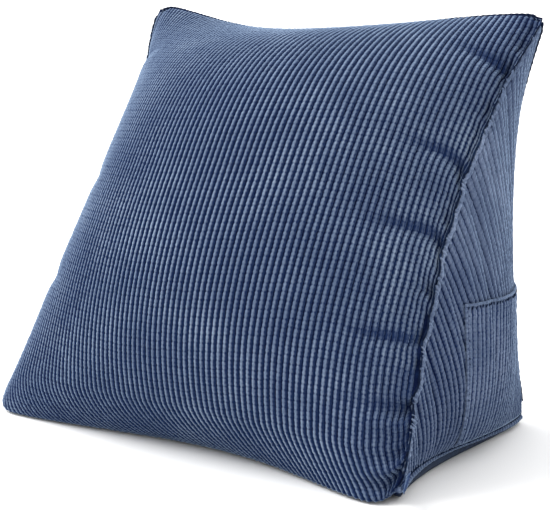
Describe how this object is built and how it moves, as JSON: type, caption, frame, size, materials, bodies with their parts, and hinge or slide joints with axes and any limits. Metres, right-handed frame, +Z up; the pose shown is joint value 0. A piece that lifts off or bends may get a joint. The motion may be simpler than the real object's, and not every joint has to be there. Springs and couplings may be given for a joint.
{
  "type": "backrest pillow",
  "caption": "Filled wedge-shaped backrest pillow in ribbed corduroy, with a patch pocket on its side and a plain cloth base, standing upright on its base.",
  "frame": {"origin": "on the floor, under the middle of the pillow", "axes": "+X towards the pillow's right as seen from its front, +Y towards its back, +Z up"},
  "size_m": [0.4678, 0.2996, 0.3901],
  "materials": {
    "corduroy": "soft beaded ribs",
    "pocket_corduroy": "soft beaded ribs",
    "plain_cloth": "smooth weave"
  },
  "bodies": {
    "root": {"cushion_body": "corduroy", "side_pocket": "pocket_corduroy", "base_panel": "plain_cloth"}
  },
  "joints": []
}
